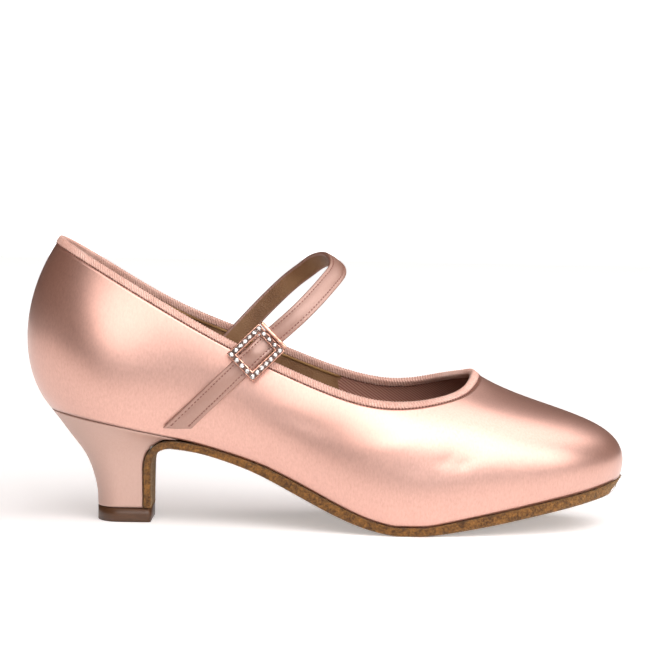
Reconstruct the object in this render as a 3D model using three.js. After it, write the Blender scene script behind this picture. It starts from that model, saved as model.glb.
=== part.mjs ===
// Ballroom court shoe for the right foot: a hollow satin upper on a suede sole and a flared heel, with
// a strap over the instep and a stone-set buckle. Millimetres, +Z up, toe to +X, inner side to +Y.
import * as THREE from 'three';
import { mergeVertices } from 'three/addons/utils/BufferGeometryUtils.js';

// Sizes of the last and of the parts built on it
const LENGTH = 245;
const BALL_WIDTH = 75;
const BACK_HEIGHT = 115.4;
const WALL = 1.8;
const GAP = 0.3;
const SOLE_WELT = 1.0;
const INSOLE_THICKNESS = 2.0;
const BINDING_WIDTH = 3.2;
const BINDING_PROUD = 0.4;
const STRAP_WIDTH = 8.0;
const STRAP_THICKNESS = 1.8;
const LIFT_HEIGHT = 6.0;
const HEEL_FRONT = 63.5;
const BREAST_RADIUS = 12.0;
const BREAST_X = 49.0;
const BREAST_Z = 22.8;
const TIP_BACK = 29.9;
const TIP_HALF = 12.4;
const SEAT_BACK = 10.9;
const TREAD_BACK = 0.614;
const TREAD_FRONT = 0.661;

// Line of the bottom of the last, seen from the side: place along the length, height above the floor
// and thickness of the sole below it
const BOTTOM_LINE = [
  { at: 0.0, height: 46.6, sole: 2.8 },
  { at: 0.057, height: 45.0, sole: 2.8 },
  { at: 0.135, height: 42.0, sole: 2.8 },
  { at: 0.2, height: 38.7, sole: 2.8 },
  { at: 0.269, height: 35.1, sole: 3.0 },
  { at: 0.327, height: 31.3, sole: 3.0 },
  { at: 0.396, height: 26.0, sole: 3.6 },
  { at: 0.461, height: 18.8, sole: 4.3 },
  { at: 0.527, height: 10.8, sole: 4.2 },
  { at: 0.571, height: 6.3, sole: 3.8 },
  { at: 0.6, height: 4.4, sole: 3.6 },
  { at: TREAD_BACK, height: 3.8, sole: 3.5 },
  { at: TREAD_FRONT, height: 3.8, sole: 3.5 },
  { at: 0.677, height: 4.3, sole: 3.6 },
  { at: 0.702, height: 5.5, sole: 3.9 },
  { at: 0.784, height: 9.5, sole: 4.4 },
  { at: 0.865, height: 13.5, sole: 4.4 },
  { at: 0.955, height: 17.8, sole: 4.0 },
  { at: 1.01, height: 21.2, sole: 3.4 },
];

// Sections of the upper round the foot, from the back along the outer side to the toe and home along
// the inner side. Foot columns: where the wall leaves the sole, in lengths and ball widths. Top columns:
// its top edge, height in back heights. Swell and lift pull the wall out and up from its foot, lean and
// drop pull it out and down from its top edge, in millimetres.
const SECTIONS = [
  { footAt: 0.042, footSide: 0, topAt: 0.057, topSide: 0, topRise: 1,
    swell: 13, lift: 14, lean: 18.2, drop: 26.3 },
  { footAt: 0.122, footSide: -0.327, topAt: 0.108, topSide: -0.244, topRise: 0.939,
    swell: 9, lift: 20, lean: 10, drop: 24 },
  { footAt: 0.237, footSide: -0.333, topAt: 0.231, topSide: -0.347, topRise: 0.787,
    swell: 7, lift: 16, lean: 4, drop: 20 },
  { footAt: 0.359, footSide: -0.333, topAt: 0.351, topSide: -0.36, topRise: 0.648,
    swell: 6.5, lift: 14, lean: 3, drop: 16 },
  { footAt: 0.49, footSide: -0.42, topAt: 0.478, topSide: -0.384, topRise: 0.527,
    swell: 6, lift: 14, lean: 4, drop: 13 },
  { footAt: 0.62, footSide: -0.504, topAt: 0.592, topSide: -0.413, topRise: 0.4575,
    swell: 5.5, lift: 15, lean: 8, drop: 11 },
  { footAt: 0.763, footSide: -0.457, topAt: 0.686, topSide: -0.313, topRise: 0.468,
    swell: 6, lift: 18, lean: 12.5, drop: 8 },
  { footAt: 0.916, footSide: -0.283, topAt: 0.729, topSide: -0.153, topRise: 0.5026,
    swell: 8, lift: 23, lean: 18, drop: 11.5 },
  { footAt: 0.9955, footSide: 0.067, topAt: 0.7445, topSide: 0.04, topRise: 0.5425,
    swell: 9, lift: 27, lean: 24, drop: 17.6 },
  { footAt: 0.926, footSide: 0.34, topAt: 0.73, topSide: 0.187, topRise: 0.538,
    swell: 8, lift: 24, lean: 18, drop: 12 },
  { footAt: 0.806, footSide: 0.465, topAt: 0.69, topSide: 0.327, topRise: 0.517,
    swell: 6, lift: 20, lean: 13, drop: 9 },
  { footAt: 0.686, footSide: 0.493, topAt: 0.612, topSide: 0.407, topRise: 0.493,
    swell: 4.5, lift: 16, lean: 8, drop: 12 },
  { footAt: 0.531, footSide: 0.36, topAt: 0.498, topSide: 0.387, topRise: 0.549,
    swell: 6, lift: 14, lean: 4, drop: 14 },
  { footAt: 0.3755, footSide: 0.24, topAt: 0.359, topSide: 0.347, topRise: 0.666,
    swell: 9, lift: 12, lean: 3, drop: 18 },
  { footAt: 0.237, footSide: 0.273, topAt: 0.233, topSide: 0.343, topRise: 0.777,
    swell: 9, lift: 15, lean: 4, drop: 20 },
  { footAt: 0.122, footSide: 0.32, topAt: 0.106, topSide: 0.26, topRise: 0.935,
    swell: 9, lift: 20, lean: 9, drop: 24 },
];
const ROUND = SECTIONS.length;

// Curve through the rows of a table that never swings past them
function tableCurve(rows, column) {
  const step = [];
  for (let i = 0; i < rows.length - 1; i += 1) {
    step.push((rows[i + 1][column] - rows[i][column]) / (rows[i + 1].at - rows[i].at));
  }
  const slope = rows.map((row, i) => {
    if (i === 0) return step[0];
    if (i === rows.length - 1) return step[i - 1];
    if (step[i - 1] * step[i] <= 0) return 0;
    return (2 * step[i - 1] * step[i]) / (step[i - 1] + step[i]);
  });
  return (at) => {
    const last = rows.length - 2;
    let i = 0;
    while (i < last && at > rows[i + 1].at) i += 1;
    const width = rows[i + 1].at - rows[i].at;
    const s = (at - rows[i].at) / width;
    const rise = s * s * (3 - 2 * s);
    const early = s * (1 - s) * (1 - s) * width * slope[i];
    const late = s * s * (s - 1) * width * slope[i + 1];
    return rows[i][column] * (1 - rise) + rows[i + 1][column] * rise + early + late;
  };
}

// Smooth closed curve through one column of the sections, one unit of u per section
function lane(column, size) {
  const value = SECTIONS.map((row) => row[column] * size);
  const slope = value.map(() => 0);
  for (let pass = 0; pass < 40; pass += 1) {
    for (let i = 0; i < ROUND; i += 1) {
      const after = (i + 1) % ROUND;
      const before = (i + ROUND - 1) % ROUND;
      slope[i] = (3 * (value[after] - value[before]) - slope[after] - slope[before]) / 4;
    }
  }
  return (u) => {
    const turn = ((u % ROUND) + ROUND) % ROUND;
    const i = Math.floor(turn);
    const j = (i + 1) % ROUND;
    const s = turn - i;
    const rise = s * s * (3 - 2 * s);
    const bend = s * (1 - s) * ((1 - s) * slope[i] - s * slope[j]);
    return value[i] * (1 - rise) + value[j] * rise + bend;
  };
}

const smooth = THREE.MathUtils.smoothstep;
const mix = THREE.MathUtils.lerp;
const at = (x, y, z) => new THREE.Vector3(x, y, z);
const bottomRow = tableCurve(BOTTOM_LINE, 'height');
const soleRow = tableCurve(BOTTOM_LINE, 'sole');
const bottomHeight = (x) => bottomRow(x / LENGTH);
const soleThickness = (x) => soleRow(x / LENGTH);

// The wall of the upper as a surface: u runs round the foot, t climbs from the sole to the top edge
const footX = lane('footAt', LENGTH);
const footY = lane('footSide', BALL_WIDTH);
const topX = lane('topAt', LENGTH);
const topY = lane('topSide', BALL_WIDTH);
const topZ = lane('topRise', BACK_HEIGHT);
const swell = lane('swell', 1);
const lift = lane('lift', 1);
const lean = lane('lean', 1);
const drop = lane('drop', 1);
const NUDGE = 0.004;

function outward(alongX, alongY, u) {
  const dx = alongX(u + NUDGE) - alongX(u - NUDGE);
  const dy = alongY(u + NUDGE) - alongY(u - NUDGE);
  return at(dy, -dx, 0).normalize();
}

function footPoint(u) {
  return at(footX(u), footY(u), bottomHeight(footX(u)));
}

function wall(u, t) {
  const foot = footPoint(u);
  const top = at(topX(u), topY(u), topZ(u));
  const low = foot.clone().addScaledVector(outward(footX, footY, u), swell(u));
  low.z += lift(u);
  const high = top.clone().addScaledVector(outward(topX, topY, u), lean(u));
  high.z -= drop(u);
  return new THREE.CubicBezierCurve3(foot, low, high, top).getPoint(t);
}

function climb(u, t) {
  return wall(u, t + NUDGE).sub(wall(u, t - NUDGE)).divideScalar(2 * NUDGE);
}

function facing(u, t) {
  const along = wall(u + NUDGE, t).sub(wall(u - NUDGE, t));
  return along.cross(climb(u, t)).normalize();
}

// Height t at which the wall stops to leave the given length for the binding
function belowTop(u, length) {
  let t = 1 - length / climb(u, 1).length();
  for (let pass = 0; pass < 3; pass += 1) {
    t = 1 - length / climb(u, (1 + t) / 2).length();
  }
  return t;
}

// Place on the wall seen at x, z from the side, found from a start near it
function onWall(x, z, u0, t0) {
  let u = u0;
  let t = t0;
  for (let pass = 0; pass < 12; pass += 1) {
    const here = wall(u, t);
    const du = wall(u + NUDGE, t).sub(here).divideScalar(NUDGE);
    const dt = wall(u, t + NUDGE).sub(here).divideScalar(NUDGE);
    const det = du.x * dt.z - dt.x * du.z;
    const ex = x - here.x;
    const ez = z - here.z;
    u += (ex * dt.z - dt.x * ez) / det;
    t += (du.x * ez - ex * du.z) / det;
  }
  return { u, t, spot: wall(u, t), face: facing(u, t) };
}

// Closed body through rings of equal count; open ends are closed across from one half to the other
function loft(rings, around) {
  const size = rings[0].length;
  const spots = rings.flat();
  const faces = [];
  const quad = (a, b, c, d) => {
    if (spots[a].distanceTo(spots[c]) <= spots[b].distanceTo(spots[d])) faces.push(a, b, c, a, c, d);
    else faces.push(a, b, d, b, c, d);
  };
  const spans = around ? rings.length : rings.length - 1;
  for (let r = 0; r < spans; r += 1) {
    const here = r * size;
    const next = ((r + 1) % rings.length) * size;
    for (let i = 0; i < size; i += 1) {
      const j = (i + 1) % size;
      quad(here + i, here + j, next + j, next + i);
    }
  }
  const end = (rings.length - 1) * size;
  for (let i = 0; !around && i < size / 2 - 1; i += 1) {
    quad(i + 1, i, size - 1 - i, size - 2 - i);
    quad(end + i, end + i + 1, end + size - 2 - i, end + size - 1 - i);
  }
  let volume = 0;
  for (let f = 0; f < faces.length; f += 3) {
    volume += spots[faces[f]].dot(spots[faces[f + 1]].clone().cross(spots[faces[f + 2]]));
  }
  const body = new THREE.BufferGeometry().setFromPoints(spots);
  body.setIndex(volume > 0 ? faces : faces.reverse());
  return body;
}

// Plan outline of the foot moved outwards by a margin, as outer and inner side over the length
const OUTLINE_STEPS = 480;
function planOutline(margin) {
  const loop = [];
  for (let i = 0; i < OUTLINE_STEPS; i += 1) {
    const u = (i / OUTLINE_STEPS) * ROUND;
    loop.push(footPoint(u).addScaledVector(outward(footX, footY, u), margin));
  }
  const xs = loop.map((p) => p.x);
  const back = xs.indexOf(Math.min(...xs));
  const toe = xs.indexOf(Math.max(...xs));
  const side = (from, to) => (x) => {
    for (let i = from; i !== to; i = (i + 1) % OUTLINE_STEPS) {
      const a = loop[i];
      const b = loop[(i + 1) % OUTLINE_STEPS];
      if ((a.x - x) * (b.x - x) <= 0) return mix(a.y, b.y, (x - a.x) / (b.x - a.x || 1));
    }
    return loop[to].y;
  };
  return { first: xs[back], last: xs[toe], outer: side(back, toe), inner: side(toe, back) };
}

// Ring across a flat piece: upper row from the outer to the inner side, lower row back again
const ACROSS = 4;
function flatRing(outer, inner, upper, lower) {
  const ring = [];
  for (let i = 0; i <= ACROSS; i += 1) {
    ring.push(at(upper.x, mix(outer, inner, i / ACROSS), upper.z));
  }
  for (let i = ACROSS; i >= 0; i -= 1) {
    ring.push(at(lower.x, mix(outer, inner, i / ACROSS), lower.z));
  }
  return ring;
}

const shoe = new THREE.Group();
shoe.name = 'ballroom_shoe';
function piece(name, body, colour, roughness, metalness) {
  const skin = new THREE.MeshStandardMaterial({ color: colour, roughness, metalness });
  const mesh = new THREE.Mesh(body, skin);
  mesh.name = name;
  shoe.add(mesh);
}

// Upper: one shell open at the collar, along the throat and underneath
const ROUND_STEPS = ROUND * 6;
const CLIMB_STEPS = 12;
const upperRings = [];
for (let i = 0; i < ROUND_STEPS; i += 1) {
  const u = (i / ROUND_STEPS) * ROUND;
  const stop = belowTop(u, BINDING_WIDTH + GAP);
  const outside = [];
  const inside = [];
  for (let k = 0; k <= CLIMB_STEPS; k += 1) {
    const t = (k / CLIMB_STEPS) * stop;
    outside.push(wall(u, t));
    inside.unshift(wall(u, t).addScaledVector(facing(u, t), -WALL));
  }
  upperRings.push([...outside, ...inside]);
}
piece('upper', loft(upperRings, true), '#e9bcad', 0.4, 0);

// Binding: a tape folded over the top edge, a little proud of the wall on both faces
const BINDING_POINTS = 8;
const bindingRings = [];
for (let i = 0; i < ROUND_STEPS; i += 1) {
  const u = (i / ROUND_STEPS) * ROUND;
  const rise = climb(u, 1).normalize();
  const face = facing(u, 1);
  const middle = wall(u, 1).addScaledVector(face, -WALL / 2).addScaledVector(rise, -BINDING_WIDTH / 2);
  const ring = [];
  for (let k = 0; k < BINDING_POINTS; k += 1) {
    const turn = ((k + 0.5) / BINDING_POINTS) * 2 * Math.PI;
    const across = Math.sign(Math.cos(turn)) * Math.sqrt(Math.abs(Math.cos(turn)));
    const up = Math.sign(Math.sin(turn)) * Math.sqrt(Math.abs(Math.sin(turn)));
    const spot = middle.clone().addScaledVector(face, across * (WALL / 2 + BINDING_PROUD));
    ring.push(spot.addScaledVector(rise, (up * BINDING_WIDTH) / 2));
  }
  bindingRings.push(ring);
}
piece('topline_binding', loft(bindingRings, true), '#dca292', 0.7, 0);

// Insole: a thin board lying inside the foot of the wall
const INSOLE_STEPS = 44;
const TIP_ROOM = 0.05;
const insoleEdge = planOutline(-(WALL + 2 * GAP));
const insoleRings = [];
for (let i = 0; i <= INSOLE_STEPS; i += 1) {
  const ease = (1 - Math.cos((i / INSOLE_STEPS) * Math.PI)) / 2;
  const x = mix(insoleEdge.first + TIP_ROOM, insoleEdge.last - TIP_ROOM, ease);
  const under = at(x, 0, bottomHeight(x) + TIP_ROOM);
  const over = at(x, 0, under.z + INSOLE_THICKNESS);
  insoleRings.push(flatRing(insoleEdge.outer(x), insoleEdge.inner(x), over, under));
}
piece('insole', loft(insoleRings, false), '#a47a52', 0.7, 0);

// Breast of the heel: a quarter round under the seat, then straight down to the top lift
const seatEdge = planOutline(0);
const BREAST_START = Math.acos((HEEL_FRONT - BREAST_X - BREAST_RADIUS) / BREAST_RADIUS);
const BREAST_ARC = (Math.PI - BREAST_START) * BREAST_RADIUS;
const BREAST_RUN = BREAST_ARC + BREAST_Z - LIFT_HEIGHT;
function breast(share, inset) {
  const run = share * BREAST_RUN;
  const radius = BREAST_RADIUS - inset;
  if (run >= BREAST_ARC) return { x: BREAST_X + inset, z: BREAST_Z - (run - BREAST_ARC) };
  const turn = BREAST_START + run / BREAST_RADIUS;
  const centre = BREAST_X + BREAST_RADIUS;
  return { x: centre + radius * Math.cos(turn), z: BREAST_Z + radius * Math.sin(turn) };
}

// How far the heel has drawn in towards its tip at a share of its height
const HEEL_FLARE = [
  { at: 0, draw: 0 },
  { at: 0.06, draw: 0.1 },
  { at: 0.27, draw: 0.42 },
  { at: 0.48, draw: 0.74 },
  { at: 0.69, draw: 0.91 },
  { at: 0.88, draw: 0.99 },
  { at: 1, draw: 1 },
];
const heelDraw = tableCurve(HEEL_FLARE, 'draw');

// Half width of the tip from its round back to its straight front
const TIP_ROUND = 0.5;
function tipHalf(share) {
  const s = Math.min(1, share / TIP_ROUND);
  return TIP_HALF * Math.sqrt(1 - (1 - s) * (1 - s));
}

// Heel: lofted from the seat of the upper to the tip
const HEEL_LEVELS = 14;
const HEEL_SIDE = 14;
const SEAT_TOP = (x) => bottomHeight(x) - GAP;
const heelRings = [];
for (let level = 0; level <= HEEL_LEVELS; level += 1) {
  const down = level / HEEL_LEVELS;
  const draw = heelDraw(down);
  const front = breast(Math.max(0, (level - 1) / (HEEL_LEVELS - 1)), 0);
  const outer = [];
  const inner = [];
  for (let i = 0; i <= HEEL_SIDE; i += 1) {
    const ease = 1 - Math.cos(((i / HEEL_SIDE) * Math.PI) / 2);
    const share = mix(ease, i / HEEL_SIDE, i / HEEL_SIDE);
    const seatX = mix(SEAT_BACK, HEEL_FRONT, share);
    const frontX = level === 0 ? HEEL_FRONT : front.x;
    const x = mix(mix(SEAT_BACK, TIP_BACK, draw), frontX, share);
    const backZ = mix(SEAT_TOP(SEAT_BACK), LIFT_HEIGHT, down);
    const z = level === 0 ? SEAT_TOP(seatX) : mix(backZ, front.z, share);
    const sag = level === 0 ? 0 : (SEAT_TOP(seatX) - mix(SEAT_TOP(SEAT_BACK), SEAT_TOP(HEEL_FRONT), share));
    const high = z + sag * (1 - down) * (1 - down);
    outer.push(at(x, mix(seatEdge.outer(seatX), -tipHalf(share), draw), high));
    inner.unshift(at(x, mix(seatEdge.inner(seatX), tipHalf(share), draw), high));
  }
  heelRings.push([...outer, ...inner]);
}
piece('heel', loft(heelRings, false), '#e6bdae', 0.5, 0);

// Outsole: one strip of suede from the toe under the ball and the shank and down the breast
const SOLE_STEPS = 34;
const BREAST_STEPS = 12;
const LIP = 0.9;
const LIP_RUN = 6;
const soleEdge = planOutline(SOLE_WELT);
const soleStart = HEEL_FRONT + LIP;
const soleXs = [TREAD_BACK * LENGTH, TREAD_FRONT * LENGTH];
for (let i = 0; i <= SOLE_STEPS; i += 1) {
  const ease = 1 - Math.cos(((i / SOLE_STEPS) * Math.PI) / 2);
  soleXs.push(mix(soleEdge.last - TIP_ROOM, soleStart, ease));
}
soleXs.sort((a, b) => b - a);
const soleRings = soleXs.map((x) => {
  const step = LIP * (1 - smooth(x, soleStart, soleStart + LIP_RUN));
  const top = { x, z: bottomHeight(x) - GAP - step };
  const down = at(bottomHeight(x + NUDGE) - bottomHeight(x - NUDGE), 0, -2 * NUDGE);
  down.setLength(soleThickness(x));
  return flatRing(soleEdge.outer(x), soleEdge.inner(x), top, { x: x + down.x, z: top.z + down.z });
});
for (let i = 1; i <= BREAST_STEPS; i += 1) {
  const share = i / BREAST_STEPS;
  const back = breast(share, GAP);
  const front = breast(share, GAP + soleThickness(HEEL_FRONT));
  const outer = mix(soleEdge.outer(HEEL_FRONT), -TIP_HALF, heelDraw(share));
  const inner = mix(soleEdge.inner(HEEL_FRONT), TIP_HALF, heelDraw(share));
  soleRings.push(flatRing(outer, inner, back, front));
}
piece('outsole', loft(soleRings, false), '#a8763f', 0.95, 0);

// Top lift: the hard foot of the heel
const LIFT_FRONT = BREAST_X + GAP + soleThickness(HEEL_FRONT);
const liftRings = [0, LIFT_HEIGHT - GAP].map((z) => {
  const outer = [];
  const inner = [];
  for (let i = 0; i <= HEEL_SIDE; i += 1) {
    const share = 1 - Math.cos(((i / HEEL_SIDE) * Math.PI) / 2);
    const x = mix(TIP_BACK, LIFT_FRONT, share);
    const half = tipHalf((x - TIP_BACK) / (BREAST_X - TIP_BACK));
    outer.push(at(x, -half, z));
    inner.unshift(at(x, half, z));
  }
  return [...outer, ...inner];
});
piece('top_lift', loft(liftRings, false), '#6f4f3c', 0.45, 0);

// Strap tab: folded band stitched low on the outer wall, rising under the buckle
const TAB_ANGLE = THREE.MathUtils.degToRad(44);
const TAB_FOOT = { x: 63.9, z: 40.9 };
const TAB_LENGTH = 50;
const TAB_STEPS = 16;
const TAB_ACROSS = 4;
const TAB_SHEAR = 14;
const OUTER_WAIST = 3;
const RISE_FROM = 0.74;
const RISE_TO = 0.88;
const RISE = 0.5;
function tabPlace(along, side, height) {
  const shear = (1 - smooth(along, 0, TAB_SHEAR)) / Math.tan(TAB_ANGLE);
  const ahead = along + side * shear;
  const x = TAB_FOOT.x + ahead * Math.cos(TAB_ANGLE) + side * Math.sin(TAB_ANGLE);
  const z = TAB_FOOT.z + ahead * Math.sin(TAB_ANGLE) - side * Math.cos(TAB_ANGLE);
  const found = onWall(x, z, OUTER_WAIST, 0.5);
  const clear = GAP + RISE * smooth(found.t, RISE_FROM, RISE_TO);
  return found.spot.addScaledVector(found.face, clear + height);
}
const tabRings = [];
for (let i = 0; i <= TAB_STEPS; i += 1) {
  const along = (i / TAB_STEPS) * TAB_LENGTH;
  const over = [];
  const under = [];
  for (let k = 0; k <= TAB_ACROSS; k += 1) {
    const side = (k / TAB_ACROSS - 0.5) * STRAP_WIDTH;
    over.push(tabPlace(along, side, STRAP_THICKNESS));
    under.unshift(tabPlace(along, side, 0));
  }
  tabRings.push([...over, ...under]);
}
piece('strap_tab', loft(tabRings, false), '#dba999', 0.5, 0);

// Frame of the buckle: middle, direction along the strap and face
const BUCKLE_AT = 42.3;
const BUCKLE_LENGTH = 17.5;
const BUCKLE_WIDTH = 15.1;
const WINDOW_LENGTH = 12.3;
const WINDOW_WIDTH = 9.0;
const BUCKLE_THICKNESS = 1.5;
const BUCKLE_LIFT = 0.5;
const FRAME_CORNER = 0.6;
const WINDOW_CORNER = 0.9;
const POSE_STEP = 5;
const POSE_SIDE = 3;
const buckleMiddle = tabPlace(BUCKLE_AT, 0, STRAP_THICKNESS + BUCKLE_LIFT);
const buckleAhead = tabPlace(BUCKLE_AT + POSE_STEP, 0, 0);
const buckleAlong = buckleAhead.sub(tabPlace(BUCKLE_AT - POSE_STEP, 0, 0)).normalize();
const buckleEdge = tabPlace(BUCKLE_AT, POSE_SIDE, 0);
const buckleSide = buckleEdge.sub(tabPlace(BUCKLE_AT, -POSE_SIDE, 0)).normalize();
const buckleFace = buckleSide.clone().cross(buckleAlong).normalize();
const buckleAcross = buckleFace.clone().cross(buckleAlong);
const bucklePose = new THREE.Matrix4().makeBasis(buckleAlong, buckleAcross, buckleFace);
bucklePose.setPosition(buckleMiddle);

function block(length, width, corner) {
  const shape = new THREE.Shape();
  const x = length / 2;
  const y = width / 2;
  shape.moveTo(-x + corner, -y);
  shape.lineTo(x - corner, -y);
  shape.lineTo(x, -y + corner);
  shape.lineTo(x, y - corner);
  shape.lineTo(x - corner, y);
  shape.lineTo(-x + corner, y);
  shape.lineTo(-x, y - corner);
  shape.lineTo(-x, -y + corner);
  return shape;
}

function raised(shape, depth) {
  const body = new THREE.ExtrudeGeometry(shape, { depth, bevelEnabled: false });
  body.deleteAttribute('normal');
  body.deleteAttribute('uv');
  return mergeVertices(body, 0.001);
}

const frameShape = block(BUCKLE_LENGTH, BUCKLE_WIDTH, FRAME_CORNER);
frameShape.holes.push(block(WINDOW_LENGTH, WINDOW_WIDTH, WINDOW_CORNER));
piece('buckle_frame', raised(frameShape, BUCKLE_THICKNESS).applyMatrix4(bucklePose), '#c98a70', 0.3, 1);

// Hook bar along the instep end of the frame
const BAR_THICK = 1.4;
const BAR_RISE = 2.4;
const BAR_LIFT = 0.25;
const BAR_CORNER = 0.3;
const barShape = block(BAR_THICK, BUCKLE_WIDTH - 1, BAR_CORNER);
const bar = raised(barShape, BAR_RISE).translate((BUCKLE_LENGTH + BAR_THICK) / 2 + GAP, 0, BAR_LIFT);
piece('buckle_hook', bar.applyMatrix4(bucklePose), '#b87b66', 0.3, 1);

// Stones set round the frame
const STONE_RADIUS = 1.05;
const STONE_TABLE = 0.6;
const STONE_RISE = 0.8;
const STONE_SIDES = 8;
const STONE_SEAT = 0.05;
const LONG_STONES = 7;
const SHORT_STONES = 5;
const longRail = (BUCKLE_WIDTH + WINDOW_WIDTH) / 4;
const shortRail = (BUCKLE_LENGTH + WINDOW_LENGTH) / 4;
const stonePlaces = [];
for (let i = 0; i < LONG_STONES; i += 1) {
  const along = mix(-shortRail, shortRail, i / (LONG_STONES - 1));
  stonePlaces.push([along, -longRail], [along, longRail]);
}
for (let i = 1; i < SHORT_STONES - 1; i += 1) {
  const across = mix(-longRail, longRail, i / (SHORT_STONES - 1));
  stonePlaces.push([-shortRail, across], [shortRail, across]);
}
stonePlaces.forEach(([along, across], i) => {
  const cut = new THREE.CylinderGeometry(STONE_TABLE, STONE_RADIUS, STONE_RISE, STONE_SIDES);
  cut.deleteAttribute('normal');
  cut.deleteAttribute('uv');
  const stone = mergeVertices(cut, 0.001).rotateX(Math.PI / 2);
  stone.translate(along, across, BUCKLE_THICKNESS + STONE_RISE / 2 + STONE_SEAT);
  piece(`stone_${String(i + 1).padStart(2, '0')}`, stone.applyMatrix4(bucklePose), '#d9dde0', 0.05, 0);
});

// Strap: from the buckle over the instep and down inside the inner wall
const STRAP_PATH = [
  { x: 112, y: -26, z: 87 },
  { x: 122.4, y: -18, z: 98.2 },
  { x: 126.3, y: -10, z: 103.6 },
  { x: 124.4, y: 0, z: 107.6 },
  { x: 118.4, y: 10, z: 106.4 },
  { x: 112.8, y: 16.5, z: 102.2 },
  { x: 106.6, y: 20.2, z: 97.2 },
  { x: 98.1, y: 22.2, z: 88.9 },
  { x: 90.6, y: 22.1, z: 80.9 },
  { x: 84.6, y: 21.8, z: 74.4 },
  { x: 78.6, y: 22.2, z: 67.9 },
];
const STRAP_STEPS = 44;
const STRAP_LOW = 70;
const STRAP_HIGH = 107;
const STRAP_SPAN = 26;
const STRAP_FORWARD = 0.75;
const STRAP_UPWARD = 0.85;
const STRAP_LEAN = 0.25;
const strapStart = tabPlace(TAB_LENGTH, 0, STRAP_THICKNESS / 2).addScaledVector(buckleAlong, GAP);
const strapLine = new THREE.CatmullRomCurve3(
  [strapStart, ...STRAP_PATH.map((row) => at(row.x, row.y, row.z))],
  false,
  'centripetal',
);

// The band faces out to each side at its ends and up and forward where it crosses the instep
function strapFacing(spot, along) {
  const over = smooth(spot.z, STRAP_LOW, STRAP_HIGH) ** 2;
  const face = at(STRAP_FORWARD * over, spot.y / STRAP_SPAN, STRAP_LEAN + STRAP_UPWARD * over);
  return face.addScaledVector(along, -face.dot(along)).normalize();
}
const strapRings = [];
for (let i = 0; i <= STRAP_STEPS; i += 1) {
  const share = i / STRAP_STEPS;
  const spot = strapLine.getPointAt(share);
  const along = strapLine.getTangentAt(share);
  const face = strapFacing(spot, along);
  const side = along.clone().cross(face);
  const over = [];
  const under = [];
  for (let k = 0; k <= TAB_ACROSS; k += 1) {
    const place = spot.clone().addScaledVector(side, (k / TAB_ACROSS - 0.5) * STRAP_WIDTH);
    over.push(place.clone().addScaledVector(face, STRAP_THICKNESS / 2));
    under.unshift(place.addScaledVector(face, -STRAP_THICKNESS / 2));
  }
  strapRings.push([...over, ...under]);
}
piece('strap', loft(strapRings, false), '#e0ac9c', 0.5, 0);

// Stand the shoe over the middle of its own footprint, on the floor
shoe.updateMatrixWorld(true);
const extent = new THREE.Box3().setFromObject(shoe);
const middle = extent.getCenter(at(0, 0, 0));
for (const mesh of shoe.children) {
  mesh.geometry.translate(-middle.x, -middle.y, -extent.min.z);
  mesh.geometry.computeVertexNormals();
}

export default shoe;
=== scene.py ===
import math

import bmesh
import bpy
import numpy as np
from mathutils import Matrix, Vector


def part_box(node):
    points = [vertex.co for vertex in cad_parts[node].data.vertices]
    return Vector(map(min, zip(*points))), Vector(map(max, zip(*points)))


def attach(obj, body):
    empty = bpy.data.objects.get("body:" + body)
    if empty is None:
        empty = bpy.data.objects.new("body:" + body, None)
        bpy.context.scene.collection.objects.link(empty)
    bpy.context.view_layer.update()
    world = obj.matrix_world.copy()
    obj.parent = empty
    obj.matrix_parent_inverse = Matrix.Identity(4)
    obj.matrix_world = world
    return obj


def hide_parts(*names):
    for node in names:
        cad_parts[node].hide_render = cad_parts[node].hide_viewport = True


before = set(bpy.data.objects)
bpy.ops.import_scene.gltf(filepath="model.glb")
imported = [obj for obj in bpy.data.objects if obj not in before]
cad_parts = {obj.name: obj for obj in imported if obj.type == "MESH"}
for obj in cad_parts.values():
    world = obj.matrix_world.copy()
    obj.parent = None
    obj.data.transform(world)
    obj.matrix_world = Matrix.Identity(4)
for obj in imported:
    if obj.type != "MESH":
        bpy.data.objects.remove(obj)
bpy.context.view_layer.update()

# Insole: a thin board covered with brown sock leather, glued inside the foot of the wall.
# Its top has a fine pebble grain and broad paler patches where it has been rubbed.
MM = 0.001
SOCK_BROWN = (0.229, 0.118, 0.057)
SOCK_PALE = (0.359, 0.21, 0.111)
SHARP = math.radians(38)


def node_skin(node, levels, edge_hold=0.8, soft_beyond=9.0):
    """Merged copy of a solid of the shoe, its true edges kept and the rest smoothed."""
    bm = bmesh.new()
    bm.from_mesh(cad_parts[node].data)
    bmesh.ops.remove_doubles(bm, verts=bm.verts, dist=0.00001)
    bmesh.ops.join_triangles(
        bm, faces=bm.faces, angle_face_threshold=0.35, angle_shape_threshold=1.2
    )
    crease = bm.edges.layers.float.new("crease_edge")
    for edge in bm.edges:
        if edge.calc_face_angle(0.0) > SHARP and min(v.co.x for v in edge.verts) < soft_beyond:
            edge[crease] = edge_hold
    made = finished(bm, node + "_skin")
    smooth = made.modifiers.new("round", "SUBSURF")
    smooth.levels = smooth.render_levels = levels
    return made


def finished(bm, name):
    """Turns a modelled piece into an object of the shoe."""
    mesh = bpy.data.meshes.new(name)
    for face in bm.faces:
        face.smooth = True
    bm.to_mesh(mesh)
    bm.free()
    made = bpy.data.objects.new(name, mesh)
    bpy.context.scene.collection.objects.link(made)
    return made


def material(name):
    made = bpy.data.materials.new(name)
    made.use_nodes = True
    return made, made.node_tree, made.node_tree.nodes["Principled BSDF"]


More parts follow.
